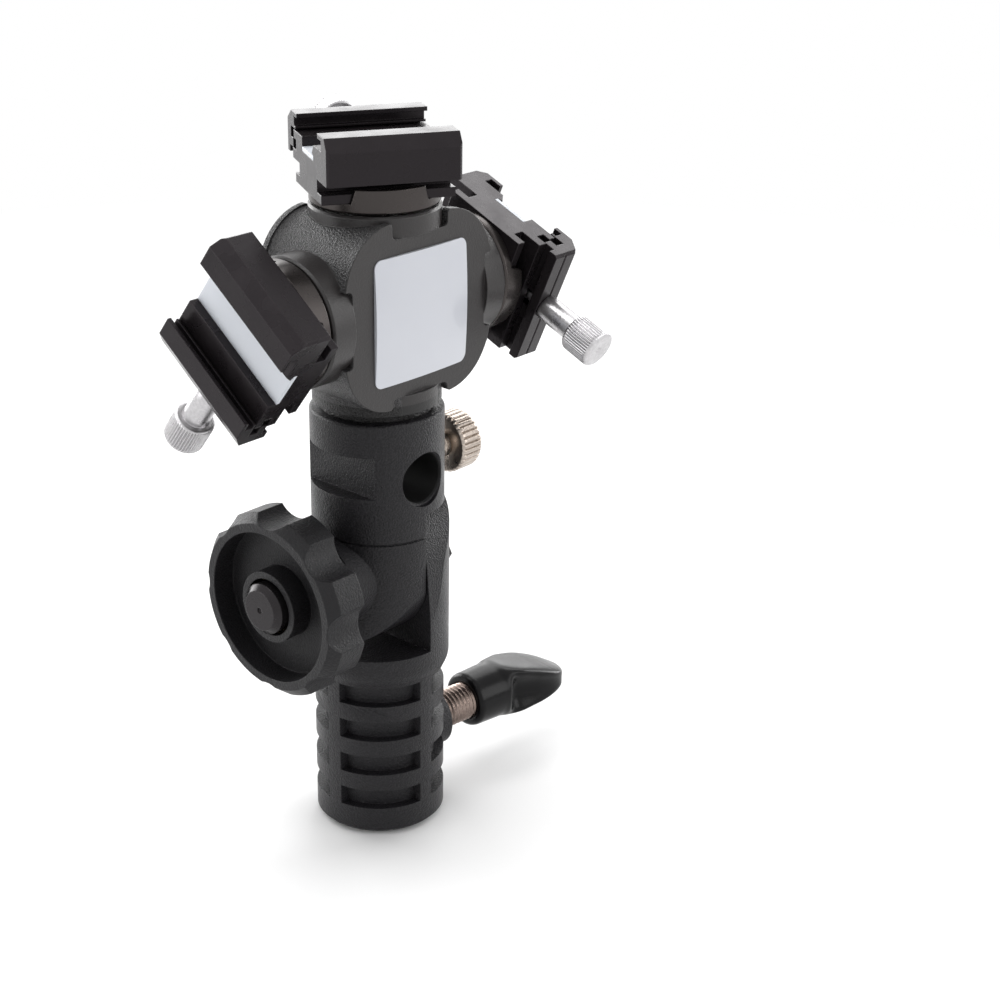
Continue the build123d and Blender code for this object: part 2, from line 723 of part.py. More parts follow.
# All nodes, in the bracket's own frame
nodes = {
    "stand_socket_body": stand_socket_body(),
    "clamp_stud": clamp_stud(),
    "clamp_wing": clamp_wing(),
    "tilt_bolt": tilt_bolt(),
    "tilt_washer": tilt_washer(),
    "tilt_knob": tilt_knob(),
    "knob_insert": knob_insert(),
    "umbrella_holder": umbrella_holder(),
    "umbrella_stem": umbrella_stem(),
    "umbrella_thumb": umbrella_thumb(),
    "hub_casting": hub_casting(),
    "hub_stud": hub_stud(),
    "front_label": front_label(),
}
shoe_parts = {
    "swivel_disc": swivel_disc(),
    "swivel_screw": swivel_screw(),
    "shoe_base": shoe_base(),
    "slot_strip": slot_strip(),
    "sliding_jaw": sliding_jaw(),
    "jaw_screw": jaw_screw(),
    "jaw_clip": jaw_clip(),
}
for place, plane in shoe_planes().items():
    for name, shape in shoe_parts.items():
        nodes[f"{name}_{place}"] = plane * shape

for name, shape in nodes.items():
    export_step(shape, f"parts/{name}.step")
    print(name, len(shape.solids()), round(shape.volume, 1))
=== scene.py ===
# %% [markdown]
# A camera flash bracket, dressed for its picture. The bracket's true shapes come from a
# CAD model, so this lesson is about what a CAD model leaves out: knurled grips, screw
# threads, a softly moulded handle, and finishes that catch the light as paint, anodising,
# plastic and turned steel do. Everything is in metres, with +Z up and the hub facing -Y.

# %% Load the frame
import math
import bpy
import numpy as np
from mathutils import Matrix, Vector


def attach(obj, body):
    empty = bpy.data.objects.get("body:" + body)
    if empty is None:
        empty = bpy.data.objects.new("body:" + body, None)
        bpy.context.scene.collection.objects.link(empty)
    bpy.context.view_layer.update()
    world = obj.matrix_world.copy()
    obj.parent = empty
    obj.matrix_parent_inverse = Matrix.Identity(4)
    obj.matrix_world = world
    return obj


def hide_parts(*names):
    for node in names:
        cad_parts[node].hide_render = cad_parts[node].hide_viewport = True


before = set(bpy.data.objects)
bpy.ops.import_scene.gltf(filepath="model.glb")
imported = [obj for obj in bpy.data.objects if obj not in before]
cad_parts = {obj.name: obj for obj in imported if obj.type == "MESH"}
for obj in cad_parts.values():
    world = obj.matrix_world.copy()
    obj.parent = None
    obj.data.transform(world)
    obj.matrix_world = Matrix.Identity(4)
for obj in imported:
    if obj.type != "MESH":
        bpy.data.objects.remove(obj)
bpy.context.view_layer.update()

MM = 0.001

# %% [markdown]
# The camera stands to the left of the hub and a little above it. Its place was found by
# matching measured points of the bracket with their places in the photograph. A camera in
# Blender looks along its own -Z, so its matrix is built from three directions: right, up
# and backwards.

# %% Place the camera
CAMERA_PLACE = Vector((-258.414, -255.379, 221.302)) * MM
CAMERA_RIGHT = Vector((0.659451, -0.751597, 0.015026))
CAMERA_UP = Vector((0.283713, 0.26734, 0.920889))
SENSOR_WIDTH_MM = 36.0
FOCAL_LENGTH_MM = 72.626
NEAREST_SEEN = 10.0 * MM

scene = bpy.context.scene
camera_data = bpy.data.cameras.new("photo_camera")
camera_data.sensor_width = SENSOR_WIDTH_MM
camera_data.lens = FOCAL_LENGTH_MM
camera_data.clip_start = NEAREST_SEEN
camera = bpy.data.objects.new("photo_camera", camera_data)
turn = Matrix((CAMERA_RIGHT, CAMERA_UP, CAMERA_RIGHT.cross(CAMERA_UP))).transposed()
camera.matrix_world = Matrix.Translation(CAMERA_PLACE) @ turn.to_4x4()
scene.collection.objects.link(camera)
scene.camera = camera
scene.view_settings.view_transform = "Standard"
print("camera", round(camera.location.length, 3), "m from the socket's mouth")

# %% [markdown]
# A material is a small network of nodes. Each finish here starts from a Principled
# shader, and one helper makes it, so that the numbers that stay the same all over are
# set on the shader's own sockets. Two more helpers add a node and join two sockets.


# %% A blank finish and its wires
def new_finish(name, colour, roughness, metallic=0.0, coat=0.0, coat_roughness=0.1, mirror=0.5):
    """A Principled material; colour is linear red, green and blue, mirror the specular level."""
    finish = bpy.data.materials.new(name)
    finish.use_nodes = True
    shader = finish.node_tree.nodes["Principled BSDF"]
    shader.inputs["Base Color"].default_value = (*colour, 1.0)
    shader.inputs["Roughness"].default_value = roughness
    shader.inputs["Metallic"].default_value = metallic
    shader.inputs["Coat Weight"].default_value = coat
    shader.inputs["Coat Roughness"].default_value = coat_roughness
    shader.inputs["Specular IOR Level"].default_value = mirror
    finish.diffuse_color = (*colour, 1.0)
    return finish, shader


def add_node(finish, kind, **values):
    """Add a node and set its input sockets by name."""
    node = finish.node_tree.nodes.new(kind)
    for name, value in values.items():
        node.inputs[name.replace("_", " ")].default_value = value
    return node


def wire(finish, out_socket, in_socket):
    """Join two sockets."""
    finish.node_tree.links.new(out_socket, in_socket)


print("blank finish ready")

# %% [markdown]
# Patterns are worked out from Object coordinates, which are metres on the real bracket,
# so a grain of 0.3 mm stays 0.3 mm on every piece. Noise gives the grain, and a map from
# one range to another turns it into a roughness, a shade or a height.


# %% Patterns
def place_of(finish):
    """Object coordinates, in metres."""
    return finish.node_tree.nodes.new("ShaderNodeTexCoord").outputs["Object"]


def stretched(finish, scale):
    """Object coordinates scaled along X, Y and Z, for a grain with a direction."""
    mapping = add_node(finish, "ShaderNodeMapping", Scale=scale)
    wire(finish, place_of(finish), mapping.inputs["Vector"])
    return mapping.outputs["Vector"]


def noise(finish, where, scale, detail=2.0, roughness=0.5):
    """A noise value from 0 to 1; scale is about how many waves fit in a metre."""
    node = add_node(finish, "ShaderNodeTexNoise", Scale=scale, Detail=detail, Roughness=roughness)
    wire(finish, where, node.inputs["Vector"])
    return node.outputs["Fac"]


def remap(finish, value, low, high, to_low, to_high):
    """Stretch value from one range to another, clamped."""
    node = add_node(finish, "ShaderNodeMapRange", From_Min=low, From_Max=high,
                    To_Min=to_low, To_Max=to_high)
    wire(finish, value, node.inputs["Value"])
    return node.outputs["Result"]


def cloudy_roughness(finish, shader, scale, low, high, spread=(0.3, 0.7)):
    """Let the roughness drift from low to high in soft clouds, over a spread of the noise."""
    cloud = noise(finish, place_of(finish), scale)
    wire(finish, remap(finish, cloud, *spread, low, high), shader.inputs["Roughness"])


print("patterns ready")

# %% [markdown]
# Some finishes change from one part of a piece to another, as where a casting was
# machined flat after it was cast. A mask is a value that is 1 in one region and 0 outside
# it, made from a distance and a limit. The product of two masks is what both cover, the
# larger of two is what either covers, and a mask then blends two colours.


# %% Masks
MASK_EDGE = 0.1 * MM
# A Mix node has sockets for numbers, vectors and colours; these are the colours' places.
MIX_SHARE, MIX_FIRST, MIX_SECOND, MIX_RESULT = 0, 6, 7, 2


def joined(finish, operation, first, second=None):
    """A sum, product or other plain operation on one value or two."""
    node = finish.node_tree.nodes.new("ShaderNodeMath")
    node.operation = operation
    wire(finish, first, node.inputs[0])
    if second is not None:
        wire(finish, second, node.inputs[1])
    return node.outputs[0]


def axis_distance(finish, keep, shift):
    """Distance in metres from an axis: coordinates times keep, plus shift, then the length."""
    mapping = add_node(finish, "ShaderNodeMapping", Scale=keep, Location=shift)
    wire(finish, place_of(finish), mapping.inputs["Vector"])
    length = finish.node_tree.nodes.new("ShaderNodeVectorMath")
    length.operation = "LENGTH"
    wire(finish, mapping.outputs["Vector"], length.inputs[0])
    return length.outputs["Value"]


def beyond(finish, value, limit):
    """1 where value is over limit and 0 where it is under, with a narrow soft edge."""
    return remap(finish, value, limit, limit + MASK_EDGE, 0.0, 1.0)


def within(finish, value, limit):
    """1 where value is under limit and 0 where it is over, with a narrow soft edge."""
    return remap(finish, value, limit, limit + MASK_EDGE, 1.0, 0.0)


def blend_colours(finish, share, first, second):
    """Mix two linear colours, each a tuple or a socket, by a share from 0 to 1."""
    node = finish.node_tree.nodes.new("ShaderNodeMix")
    node.data_type = "RGBA"
    wire(finish, share, node.inputs[MIX_SHARE])
    for place, colour in ((MIX_FIRST, first), (MIX_SECOND, second)):
        if isinstance(colour, tuple):
            node.inputs[place].default_value = (*colour, 1.0)
        else:
            wire(finish, colour, node.inputs[place])
    return node.outputs[MIX_RESULT]


def shaded(colour, share):
    """A colour times a share: darker under 1, lighter over it."""
    return tuple(share * part for part in colour)


print("masks ready, with a soft edge of", round(MASK_EDGE / MM, 2), "mm")

# %% [markdown]
# No real edge is perfectly sharp: a thin bright line runs along it. A Bevel node bends
# the normals near each edge as a small radius would, and the grain is added on top of
# that as a bump. The radius differs from finish to finish, as paint fills an edge and a
# machined one stays crisp.


# %% Soft edges and grain
def rounded_bump(finish, shader, height, distance, edge=0.25 * MM):
    """Bump from a height, over normals that round each sharp edge by a small radius."""
    rounding = finish.node_tree.nodes.new("ShaderNodeBevel")
    rounding.samples = 6
    rounding.inputs["Radius"].default_value = edge
    bump = add_node(finish, "ShaderNodeBump", Distance=distance, Strength=1.0)
    wire(finish, height, bump.inputs["Height"])
    wire(finish, rounding.outputs["Normal"], bump.inputs["Normal"])
    wire(finish, bump.outputs["Normal"], shader.inputs["Normal"])


print("edge rounding ready")

# %% [markdown]
# The castings are painted black with a fine, hard grain: the paint dries in small
# pimples about a third of a millimetre apart. One noise makes both their height and their
# colour, so each pimple is a little lighter than the pit beside it: a painted shade in the
# pits and a painted glint on the pimples. Where a mask says that the metal was machined,
# the pimples die down and one plain colour takes over.


# %% Grainy paint
PIMPLES = 2900.0
# Shares of the paint's colour: a painted shade in each pit and a painted glint on each pimple.
PIT_PAINTED_SHADE, PEAK_PAINTED_GLINT = 0.6, 1.45


def painted(name, colour, smooth_colour, smooth_area, quiet, grain_height, mirror):
    """Black paint whose pimples die down to a share, quiet, where smooth_area gives 1.

    Returns the finish, its shader, the smooth area and the shade, which isn't wired yet.
    """
    finish, shader = new_finish(name, colour, 0.4, mirror=mirror)
    grain = noise(finish, place_of(finish), PIMPLES, 1.5, 0.6)
    # Painted light: the colour follows the grain's height, darker in the pits as painted shade
    # and lighter on the pimples as a painted glint.
    peaks = remap(finish, grain, 0.35, 0.68, 0.0, 1.0)
    painted_pit_shade_and_glint = blend_colours(finish, peaks, shaded(colour, PIT_PAINTED_SHADE), shaded(colour, PEAK_PAINTED_GLINT))
    smooth = smooth_area(finish)
    left_over = remap(finish, smooth, 0.0, 1.0, 1.0, quiet)
    rounded_bump(finish, shader, joined(finish, "MULTIPLY", left_over, grain), grain_height)
    return finish, shader, smooth, blend_colours(finish, smooth, painted_pit_shade_and_glint, smooth_colour)


print("paint with", PIMPLES, "waves of grain in a metre")

# %% [markdown]
# The stand socket and the umbrella holder share one paint. The hole for the umbrella's
# rod is drilled, so its wall is smooth. A mask by distance from the hole's axis finds
# that wall, and leaves the rest of the holder alone. Soft clouds in the roughness keep
# the broad faces from shining evenly.

# %% Paint of the socket and the umbrella holder
HOLE_HEIGHT = 75.5 * MM
HOLE_RADIUS = 5.0 * MM
HOLE_MARGIN = 0.1 * MM
ALONG_Y = (1.0, 0.0, 1.0)


def drilled_area(finish):
    """1 on the wall of the umbrella's hole."""
    from_hole = axis_distance(finish, ALONG_Y, (0.0, 0.0, -HOLE_HEIGHT))
    return within(finish, from_hole, HOLE_RADIUS + HOLE_MARGIN)


PAINT, paint_shader, _, paint_shade = painted(
    "grainy_black_paint", (0.0115, 0.0108, 0.0125), (0.01, 0.01, 0.01), drilled_area,
    quiet=0.04, grain_height=0.24 * MM, mirror=0.25)
wire(PAINT, paint_shade, paint_shader.inputs["Base Color"])
cloudy_roughness(PAINT, paint_shader, scale=140.0, low=0.33, high=0.42)
print(PAINT.name, "with a smooth hole at", round(HOLE_HEIGHT / MM, 1), "mm")

# %% [markdown]
# The hub is greyer and shinier. Its front and rear plates are machined flat, and its
# three bosses are turned. The plates lie far out along Y, and each boss is the part of a
# cylinder beyond its foot, so a few distances describe them all. The neck below the hub
# never sees much light, so its colour is darkened there, a painted shade that keeps it deep.

# %% Paint of the hub
HUB_AXIS = 108.8  # the side bosses' height over the socket's mouth, in mm
PLATE_FACE = 11.3 * MM
SIDE_BOSS_FOOT = 17.4 * MM
TOP_BOSS_FOOT = 123.2 * MM
BOSS_RADIUS = 12.44 * MM
NECK_TOP = 91.1 * MM
ALONG_X, ALONG_Z = (0.0, 1.0, 1.0), (1.0, 1.0, 0.0)
PLATE_BLACK = (0.027, 0.0245, 0.0245)
NECK_PAINTED_SHADE = 0.25
CAST_ROUGHNESS, MACHINED_ROUGHNESS = 0.42, 0.34


def split_place(finish):
    """The Object coordinates as three values, X, Y and Z."""
    split = finish.node_tree.nodes.new("ShaderNodeSeparateXYZ")
    wire(finish, place_of(finish), split.inputs[0])
    return [split.outputs[axis] for axis in "XYZ"]


def machined_area(finish):
    """1 on the hub's two plates and three bosses."""
    x, y, z = split_place(finish)
    plates = beyond(finish, joined(finish, "ABSOLUTE", y), PLATE_FACE)
    from_side_axis = axis_distance(finish, ALONG_X, (0.0, 0.0, -HUB_AXIS * MM))
    from_top_axis = axis_distance(finish, ALONG_Z, (0.0, 0.0, 0.0))
    side_bosses = joined(finish, "MULTIPLY",
                         beyond(finish, joined(finish, "ABSOLUTE", x), SIDE_BOSS_FOOT),
                         within(finish, from_side_axis, BOSS_RADIUS))
    top_boss = joined(finish, "MULTIPLY", beyond(finish, z, TOP_BOSS_FOOT),
                      within(finish, from_top_axis, BOSS_RADIUS))
    return joined(finish, "MAXIMUM", plates, joined(finish, "MAXIMUM", side_bosses, top_boss))


HUB_PAINT, hub_shader, machined, hub_shade = painted(
    "hub_black_paint", (0.04, 0.039, 0.04), PLATE_BLACK, machined_area,
    quiet=0.12, grain_height=0.5 * MM, mirror=0.4)
_, _, height_on_hub = split_place(HUB_PAINT)
# Painted shade: below NECK_TOP the colour darkens to a quarter of the plates' black, for the
# shadow under the hub.
neck = within(HUB_PAINT, height_on_hub, NECK_TOP)
hub_shade = blend_colours(HUB_PAINT, neck, hub_shade, shaded(PLATE_BLACK, NECK_PAINTED_SHADE))
hub_rough = remap(HUB_PAINT, machined, 0.0, 1.0, CAST_ROUGHNESS, MACHINED_ROUGHNESS)
wire(HUB_PAINT, hub_shade, hub_shader.inputs["Base Color"])
wire(HUB_PAINT, hub_rough, hub_shader.inputs["Roughness"])
print(HUB_PAINT.name, "with smooth bosses of radius", round(BOSS_RADIUS / MM, 2), "mm")

# %% [markdown]
# The shoes are cut from an extruded aluminium bar and anodised black, which leaves an
# almost even skin with a soft metallic sheen. The swivel discs are turned, brownish and
# more metallic. The bolt and the washer are blackened steel. One recipe serves all four:
# fine noise for the skin, stretched where a tool left its direction.


# %% Anodised aluminium and blackened steel
def anodised(name, colour, lines, roughness, metallic=0.8):
    """Black metal skin with faint lines; lines squeezes or stretches the grain."""
    finish, shader = new_finish(name, colour, roughness, metallic, mirror=0.25)
    grain = noise(finish, stretched(finish, lines), scale=900.0)
    cloudy_roughness(finish, shader, scale=220.0, low=roughness - 0.05, high=roughness + 0.07)
    rounded_bump(finish, shader, grain, 0.015 * MM, edge=0.26 * MM)
    return finish


SHOE_BLACK = anodised("anodised_shoe", (0.022, 0.0185, 0.0205), (1.0, 1.0, 1.0), 0.27,
                      metallic=0.55)
DISC_BLACK = anodised("anodised_disc", (0.062, 0.055, 0.053), (0.4, 1.0, 1.0), 0.27)
BOLT_BLACK = anodised("black_oxide", (0.03, 0.0275, 0.029), (0.3, 1.0, 1.0), 0.28)
WASHER_BLACK = anodised("blackened_steel", (0.016, 0.0155, 0.017), (0.3, 1.0, 1.0), 0.3)
print("black metals:", SHOE_BLACK.name, DISC_BLACK.name, BOLT_BLACK.name, WASHER_BLACK.name)

# %% [markdown]
# The thumbscrews are bare turned steel, the umbrella's thumbscrew is nickel plated, which
# is a little warmer, and the clamp's stud looks coppery. The knob's hidden insert is
# brass. Turning leaves marks too fine to model, so they are a bump and a slight change of
# shade. The knurls and the threads are real geometry further down.


# %% Bare metals
MARK_SHADE = 0.82


def turned_metal(name, colour, roughness):
    """Bright metal with fine turning marks and small cloudy stains."""
    finish, shader = new_finish(name, colour, roughness, 1.0)
    marks = noise(finish, place_of(finish), scale=1800.0, detail=3.0, roughness=0.65)
    cloudy_roughness(finish, shader, scale=300.0, low=roughness - 0.06, high=roughness + 0.1,
                     spread=(0.25, 0.75))
    bright = remap(finish, marks, 0.35, 0.65, 0.0, 1.0)
    marked = blend_colours(finish, bright, shaded(colour, MARK_SHADE), colour)
    wire(finish, marked, shader.inputs["Base Color"])
    rounded_bump(finish, shader, marks, 0.03 * MM, edge=0.12 * MM)
    return finish


COPPERY = turned_metal("coppery_thread", (0.3, 0.235, 0.205), 0.24)
STEEL = turned_metal("turned_steel", (0.55, 0.54, 0.55), 0.3)
NICKEL = turned_metal("warm_nickel", (0.47, 0.41, 0.36), 0.26)
BRASS = turned_metal("brass", (0.55, 0.38, 0.14), 0.3)
print("bare metals:", COPPERY.name, STEEL.name, NICKEL.name, BRASS.name)

# %% [markdown]
# The knob and the clamp's handle are moulded. The knob is matt with a sandy skin, as a
# spark-eroded mould gives; the handle is smoother and shines. The strip in each shoe is a
# pale insulating plastic.


# %% Plastics
def moulded(name, colour, roughness, grain_height, mirror=0.5):
    """Moulded plastic with a fine sandy skin."""
    finish, shader = new_finish(name, colour, roughness, mirror=mirror)
    sand = noise(finish, place_of(finish), scale=2200.0, roughness=0.7)
    cloudy_roughness(finish, shader, scale=160.0, low=roughness - 0.05, high=roughness + 0.05)
    rounded_bump(finish, shader, sand, grain_height, edge=0.4 * MM)
    return finish


KNOB_PLASTIC = moulded("matt_knob", (0.0105, 0.01, 0.0112), 0.44, 0.2 * MM, mirror=0.24)
HANDLE_PLASTIC = moulded("shiny_handle", (0.003, 0.0028, 0.0032), 0.22, 0.03 * MM, mirror=0.17)
STRIP_PLASTIC = moulded("pale_strip", (0.61, 0.635, 0.68), 0.42, 0.03 * MM)
print("plastics:", KNOB_PLASTIC.name, HANDLE_PLASTIC.name, STRIP_PLASTIC.name)

# %% [markdown]
# The plate on the hub's front is bare: a pale, slightly bluish sheet under a clear dome.
# A clear coat on the shader gives the dome's sharp shine over the softer sheet, and a
# broad, weak cloud keeps the colour from being one flat value.

# %% The domed plate
PLATE, plate_shader = new_finish("domed_plate", (0.53, 0.545, 0.595), 0.3, coat=1.0,
                                 coat_roughness=0.04)
plate_cloud = noise(PLATE, place_of(PLATE), scale=90.0)
plate_colour = blend_colours(PLATE, plate_cloud, (0.515, 0.53, 0.58), (0.555, 0.57, 0.615))
wire(PLATE, plate_colour, plate_shader.inputs["Base Color"])
print(PLATE.name, "made")

# %% [markdown]
# Each CAD node now gets its finish. The three shoes have equal pieces whose names end in
# their place, so a finish is looked up by the beginning of a name, and the longest
# beginning that fits wins.

# %% Give the CAD nodes their finishes
FINISH_OF = {
    "stand_socket_body": PAINT,
    "umbrella_holder": PAINT,
    "hub_casting": HUB_PAINT,
    "hub_stud": STEEL,
    "clamp_stud": STEEL,
    "clamp_wing": HANDLE_PLASTIC,
    "tilt_bolt": BOLT_BLACK,
    "tilt_washer": WASHER_BLACK,
    "tilt_knob": KNOB_PLASTIC,
    "knob_insert": BRASS,
    "umbrella_stem": NICKEL,
    "umbrella_thumb": NICKEL,
    "front_label": PLATE,
    "swivel_disc": DISC_BLACK,
    "swivel_screw": STEEL,
    "shoe_base": SHOE_BLACK,
    "sliding_jaw": SHOE_BLACK,
    "slot_strip": STRIP_PLASTIC,
    "jaw_screw": STEEL,
    "jaw_clip": WASHER_BLACK,
}
for node_name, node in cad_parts.items():
    start = max((key for key in FINISH_OF if node_name.startswith(key)), key=len)
    node.data.materials.clear()
    node.data.materials.append(FINISH_OF[start])
print("finishes on", len(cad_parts), "nodes")

# %% [markdown]
# New pieces are surfaces worked out with numpy. A grid holds a point for each step along
# a profile and each step round the axis. One helper turns such a grid into a mesh that
# closes round, with a fan at each end, and another lays a shape drawn about its own axis
# onto the bracket.


# %% Grids into meshes
def closed_tube_mesh(name, grid):
    """Mesh of a grid (rows along, columns round), with each end closed at its middle."""
    rows, columns, _ = grid.shape
    points = np.concatenate([grid.reshape(-1, 3), grid[:1].mean(1), grid[-1:].mean(1)])
    row, column = np.meshgrid(np.arange(rows - 1), np.arange(columns), indexing="ij")
    after = (column + 1) % columns
    quads = np.stack([row * columns + column, row * columns + after,
                      (row + 1) * columns + after, (row + 1) * columns + column], -1)
    ring = np.arange(columns)
    first, last = rows * columns, rows * columns + 1
    low = np.stack([np.roll(ring, -1), ring, np.full(columns, first)], -1)
    high = ring + (rows - 1) * columns
    high = np.stack([high, np.roll(high, -1), np.full(columns, last)], -1)
    faces = quads.reshape(-1, 4).tolist() + low.tolist() + high.tolist()
    mesh = bpy.data.meshes.new(name)
    mesh.from_pydata(points.tolist(), [], faces)
    mesh.update()
    return mesh


def lay_on_axis(grid, start, along, first_side):
    """Carry points (distance along, side, side) onto an axis: start plus the three parts."""
    along = np.array(along, float) / np.linalg.norm(along)
    side = np.array(first_side, float) - np.dot(first_side, along) * along
    side /= np.linalg.norm(side)
    other = np.cross(along, side)
    return (np.array(start) + grid[..., :1] * along + grid[..., 1:2] * side
            + grid[..., 2:3] * other)


print("grids close into tubes")

# %% [markdown]
# A finished mesh shades smoothly except across its real edges. It then becomes a piece:
# it gets its finish, rides on a moving body of the frame, and takes the place of the
# plainer CAD node.


# %% Pieces on bodies
def add_piece(name, grid, sharp_from, finish, body, replaced):
    """Mesh a grid, smooth it below an angle in degrees, and put it in a CAD node's place.

    The names of the CAD nodes that it takes the place of are given as a tuple.
    """
    mesh = closed_tube_mesh(name, grid)
    mesh.shade_smooth()
    mesh.set_sharp_from_angle(angle=math.radians(sharp_from))
    mesh.materials.append(finish)
    piece = bpy.data.objects.new(name, mesh)
    scene.collection.objects.link(piece)
    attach(piece, body)
    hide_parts(*replaced)
    print(name, len(mesh.polygons), "faces")


# %% [markdown]
# A knurled grip is a turned profile whose radius dips between teeth. The dip follows a
# cosine raised to a power, which gives flat-topped teeth with narrow grooves, and it
# fades out at both ends, where the real tool runs out into the chamfer. The profile is a
# table: each row says how far along the axis it is, its radius, and how deep the knurl
# cuts there.


# %% Turned profiles with teeth
def turned_grid(profile, teeth=0, columns=64, sharpness=2.0):
    """Grid of a turned profile: radius at each station, less depth times a groove shape.

    The profile's columns are station, radius and depth. The groove shape is (half plus
    half cosine of teeth times the angle) to a power, so it is 1 at the bottom of each
    groove and near 0 on the tooth.
    """
    station, radius, depth = np.asarray(profile).T[:, :, None]
    angle = np.linspace(0.0, 2.0 * np.pi, columns, endpoint=False)
    groove = (0.5 + 0.5 * np.cos(teeth * angle)) ** sharpness
    cut = radius - depth * groove
    along = np.repeat(station, columns, 1)
    return np.stack([along, cut * np.cos(angle), cut * np.sin(angle)], -1)


def plain_grid(profile, columns=64):
    """Grid of a turned profile without teeth, from rows of station and radius."""
    return turned_grid([(*row, 0.0) for row in profile], columns=columns)


def knurled_rows(begin, end, count, radius, depth):
    """Rows of a profile along a knurl, all with the same radius and depth."""
    return [(station, radius, depth) for station in np.linspace(begin, end, count)]


print("turned profiles ready")

# %% [markdown]
# Each shoe has a frame of its own: where its underside sits, the way its slot runs and
# the way it faces. The same three places drive the CAD model, so a thumbscrew drawn once
# about its own axis lands on all three shoes.

# %% Where the shoes are
TOP_SHOE_HEIGHT = 129.5
SIDE_SHOE_REACH = 25.1
TOP_TURN, RIGHT_TURN, LEFT_TURN = (math.radians(turned) for turned in (150.4, 23.3, 52.5))
SHOES = {
    "top": (Vector((0, 0, TOP_SHOE_HEIGHT)),
            Vector((math.cos(TOP_TURN), math.sin(TOP_TURN), 0)), Vector((0, 0, 1))),
    "right": (Vector((SIDE_SHOE_REACH, 0, HUB_AXIS)),
              Vector((0, math.sin(RIGHT_TURN), -math.cos(RIGHT_TURN))), Vector((1, 0, 0))),
    "left": (Vector((-SIDE_SHOE_REACH, 0, HUB_AXIS)),
             Vector((0, -math.sin(LEFT_TURN), -math.cos(LEFT_TURN))), Vector((-1, 0, 0))),
}
print("shoes at", [[round(part, 1) for part in middle] for middle, _, _ in SHOES.values()], "mm")

# %% [markdown]
# The shoe's thumbscrew is one turned piece: a long round head with a straight knurl, a
# plain shank, and a thin thread that goes through the jaw. The head ends in a flat face
# with a small centre mark from the lathe. Its profile runs inwards from that mark, in
# millimetres from the shoe's middle.

# %% Thumbscrews of the jaws
SCREW_HEIGHT = 7.65
SCREW_TEETH, COLUMNS_PER_TOOTH = 44, 8
SCREW_FACE, SCREW_BACK = 30.2, 23.6
SCREW_RADIUS, SHANK_RADIUS, THREAD_RADIUS = 3.95, 2.6, 1.24
SCREW_KNURL = 0.3


def jaw_screw_grid():
    """Profile from the centre mark on: face, chamfer, knurl, back face, shank, thread."""
    columns = SCREW_TEETH * COLUMNS_PER_TOOTH
    face, back, knurl_ends = SCREW_FACE, SCREW_BACK, 0.75
    head = [(face - 0.45, 0.12, 0.0), (face - 0.12, 0.5, 0.0), (face, 0.8, 0.0),
            (face, 2.2, 0.0), (face, 3.38, 0.0), (face - 0.14, 3.68, 0.0),
            (face - 0.5, 3.92, 0.3 * SCREW_KNURL)]
    head += knurled_rows(face - knurl_ends, back + knurl_ends, 14, SCREW_RADIUS, SCREW_KNURL)
    head += [(back + 0.5, 3.92, 0.3 * SCREW_KNURL), (back + 0.14, 3.72, 0.0),
             (back, 3.45, 0.0), (back, 3.1, 0.0), (back, 2.66, 0.0)]
    shank = [(back - 0.05, SHANK_RADIUS + 0.02), (back - 0.4, SHANK_RADIUS),
             (18.0, SHANK_RADIUS), (15.75, SHANK_RADIUS), (15.47, 2.46), (15.45, 2.3),
             (15.45, 1.3)]
    thread = [(15.4, THREAD_RADIUS), (12.0, THREAD_RADIUS), (7.5, THREAD_RADIUS),
              (7.0, 0.85), (7.0, 0.3)]
    return np.concatenate([turned_grid(head, SCREW_TEETH, columns, sharpness=1.6),
                           plain_grid(shank, columns), plain_grid(thread, columns)]) * MM


SCREW = jaw_screw_grid()[::-1]
for place, (middle, slot_way, face_way) in SHOES.items():
    outward = -face_way.cross(slot_way)
    axis_start = (middle + SCREW_HEIGHT * face_way) * MM
    laid = lay_on_axis(SCREW, axis_start, outward, slot_way)
    add_piece(f"thumbscrew_{place}", laid, 40.0, STEEL, f"thumbscrew_{place}",
              (f"jaw_screw_{place}",))

# %% [markdown]
# The umbrella's thumbscrew has a shorter, wider head with a coarse knurl, and its stem
# shows a thread. Head and stem are two pieces, because in the model the stem feeds in
# while the head turns. The head's profile starts inside the hole that takes the stem.

# %% The umbrella's thumbscrew: its head
STEM_START = (0, 0, 74.2 * MM)
STEM_WAY, STEM_SIDE = (1, 0, 0), (0, 1, 0)
HEAD_NEAR, HEAD_FAR = 18.2, 24.0
HEAD_RADIUS, HEAD_KNURL, HEAD_TEETH = 6.1, 0.45, 32


def umbrella_head_grid():
    """Ring-shaped head: stem hole, back face, chamfer, coarse knurl and outer face."""
    near, far, knurl_ends = HEAD_NEAR, HEAD_FAR, 0.8
    profile = [(22.24, 0.2, 0.0), (22.24, 2.56, 0.0), (near + 0.1, 2.56, 0.0),
               (near, 2.7, 0.0), (near, 5.4, 0.0), (near + 0.16, 5.7, 0.0),
               (near + 0.6, 6.03, 0.4 * HEAD_KNURL)]
    profile += knurled_rows(near + knurl_ends, far - knurl_ends, 10, HEAD_RADIUS, HEAD_KNURL)
    profile += [(far - 0.6, 6.03, 0.4 * HEAD_KNURL), (far - 0.16, 5.7, 0.0),
                (far, 5.4, 0.0), (far, 3.6, 0.0), (far, 1.3, 0.0), (far - 0.15, 0.9, 0.0),
                (far - 0.3, 0.2, 0.0)]
    return turned_grid(profile, HEAD_TEETH, HEAD_TEETH * 12, sharpness=6.0) * MM


head_grid = lay_on_axis(umbrella_head_grid(), STEM_START, STEM_WAY, STEM_SIDE)
add_piece("umbrella_head", head_grid, 35.0, NICKEL, "rod_screw_head",
          ("umbrella_thumb",))

# %% [markdown]
# A screw thread is one ridge that climbs round the stem. The grid stays straight, and the
# radius at each of its points follows from how far that point is from the ridge. A finer
# grid along the stem than round it keeps the ridge crisp.


# %% Screw threads
THREAD_COLUMNS = 48


